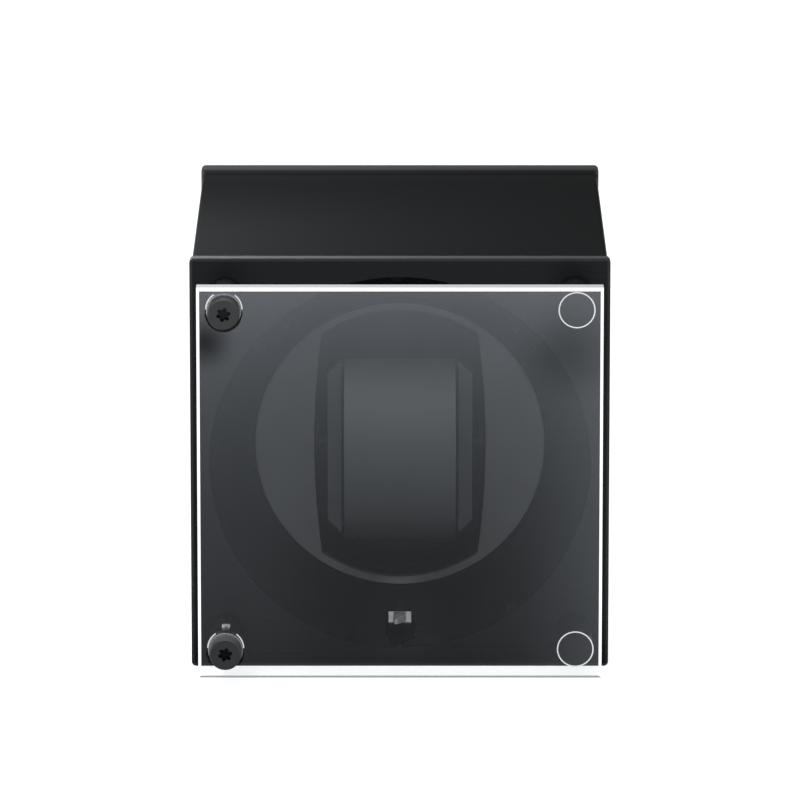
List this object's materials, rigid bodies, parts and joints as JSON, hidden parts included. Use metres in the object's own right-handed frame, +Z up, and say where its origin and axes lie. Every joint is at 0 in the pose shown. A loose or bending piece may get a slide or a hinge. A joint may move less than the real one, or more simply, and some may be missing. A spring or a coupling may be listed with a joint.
{
  "type": "watch winder",
  "caption": "Single watch winder: square black metal tube case, clear hinged door on corner posts, and a turning drum with a removable cushion watch holder.",
  "frame": {"origin": "bottom centre of the whole object's box, on the surface it stands on", "axes": "+Z up, -Y towards the door and the viewer, +Y to the rear plate, +X to the viewer's right"},
  "size_m": [0.1, 0.138, 0.1],
  "materials": {
    "black_anodised": "brushed black anodised",
    "black_steel": "black oxide, socket recess",
    "funnel_plastic": "satin black moulded",
    "plain_steel": "turned",
    "sheet_steel": "zinc plated sheet",
    "bronze": "sintered and turned",
    "black_fitting": "black anodised, turned",
    "nickel": "nickel plated",
    "black_plastic": "moulded",
    "switch_grey": "satin",
    "green_board": "solder mask",
    "wire_red": "insulation",
    "clear_acrylic": "polished",
    "black_screw": "black oxide",
    "keeper_grey": "matte, turned",
    "rotor_plastic": "satin moulded",
    "white_acetal": "moulded",
    "holder_grey": "satin moulded",
    "pad_grey": "satin soft-touch"
  },
  "bodies": {
    "case": {"body_shell": "black_anodised", "front_plate": "black_anodised", "rear_plate": "black_anodised", "rear_screws": "black_steel", "funnel": "funnel_plastic", "spacer_columns": "plain_steel", "chassis_plate": "sheet_steel", "chassis_screws": "plain_steel", "shaft_bushing": "bronze", "hinge_post_upper": "black_fitting", "hinge_post_lower": "black_fitting", "hinge_pin_upper": "plain_steel", "hinge_pin_lower": "plain_steel", "catch_post_upper": "black_fitting", "catch_post_lower": "black_fitting", "catch_magnets": "nickel", "switch_plate": "nickel", "switch_body": "black_plastic", "gearbox": "sheet_steel", "motor_can": "nickel", "motor_terminals": "bronze", "motor_screws": "plain_steel", "circuit_board": "green_board", "board_components": "black_plastic", "board_standoffs": "bronze", "power_jack": "black_plastic", "jack_nut": "nickel", "wiring": "wire_red"},
    "switch_lever": {"switch_lever": "switch_grey"},
    "pinion": {"motor_shaft": "plain_steel", "drive_pinion": "bronze"},
    "door": {"door_panel": "clear_acrylic", "door_knuckle_upper": "black_fitting", "door_knuckle_lower": "black_fitting", "door_screws": "black_screw", "door_washers": "nickel", "keeper_discs": "keeper_grey"},
    "rotor": {"rotor_pocket": "rotor_plastic", "rotor_drum": "rotor_plastic", "rotor_screws": "plain_steel", "rotor_gear": "white_acetal", "rotor_shaft": "plain_steel", "shaft_collar": "plain_steel", "guide_rods": "plain_steel", "pocket_clips": "rotor_plastic"},
    "watch_holder": {"holder_frame": "holder_grey", "holder_studs": "holder_grey", "pad_springs": "plain_steel"},
    "pad": {"holder_pad": "pad_grey", "pad_guides": "holder_grey"}
  },
  "joints": [
    {"name": "rotor_spin", "type": "hinge", "parent": "case", "child": "rotor", "pos_m": [0, 0.02, 0.05], "axis": [0, 1, 0], "continuous": true},
    {"name": "pinion_spin", "type": "hinge", "parent": "case", "child": "pinion", "pos_m": [0.02121, 0.015, 0.02879], "axis": [0, 1, 0], "continuous": true},
    {"name": "door_swing", "type": "hinge", "parent": "case", "child": "door", "pos_m": [-0.0414, -0.0576, 0.05], "axis": [0, 0, -1], "range_deg": [0, 92]},
    {"name": "switch_slide", "type": "slide", "parent": "case", "child": "switch_lever", "axis": [1, 0, 0], "range_m": [0, 0.0014]},
    {"name": "holder_pull", "type": "slide", "parent": "rotor", "child": "watch_holder", "axis": [0, -1, 0], "range_m": [0, 0.01]},
    {"name": "pad_squeeze", "type": "slide", "parent": "watch_holder", "child": "pad", "axis": [0, 1, 0], "range_m": [0, 0.003], "stiffness_N_per_m": 600, "springref_m": -0.001, "deforming": ["pad_springs"]}
  ],
  "couplings": [
    {"joint": "pinion_spin", "follows": "rotor_spin", "ratio": -4}
  ]
}
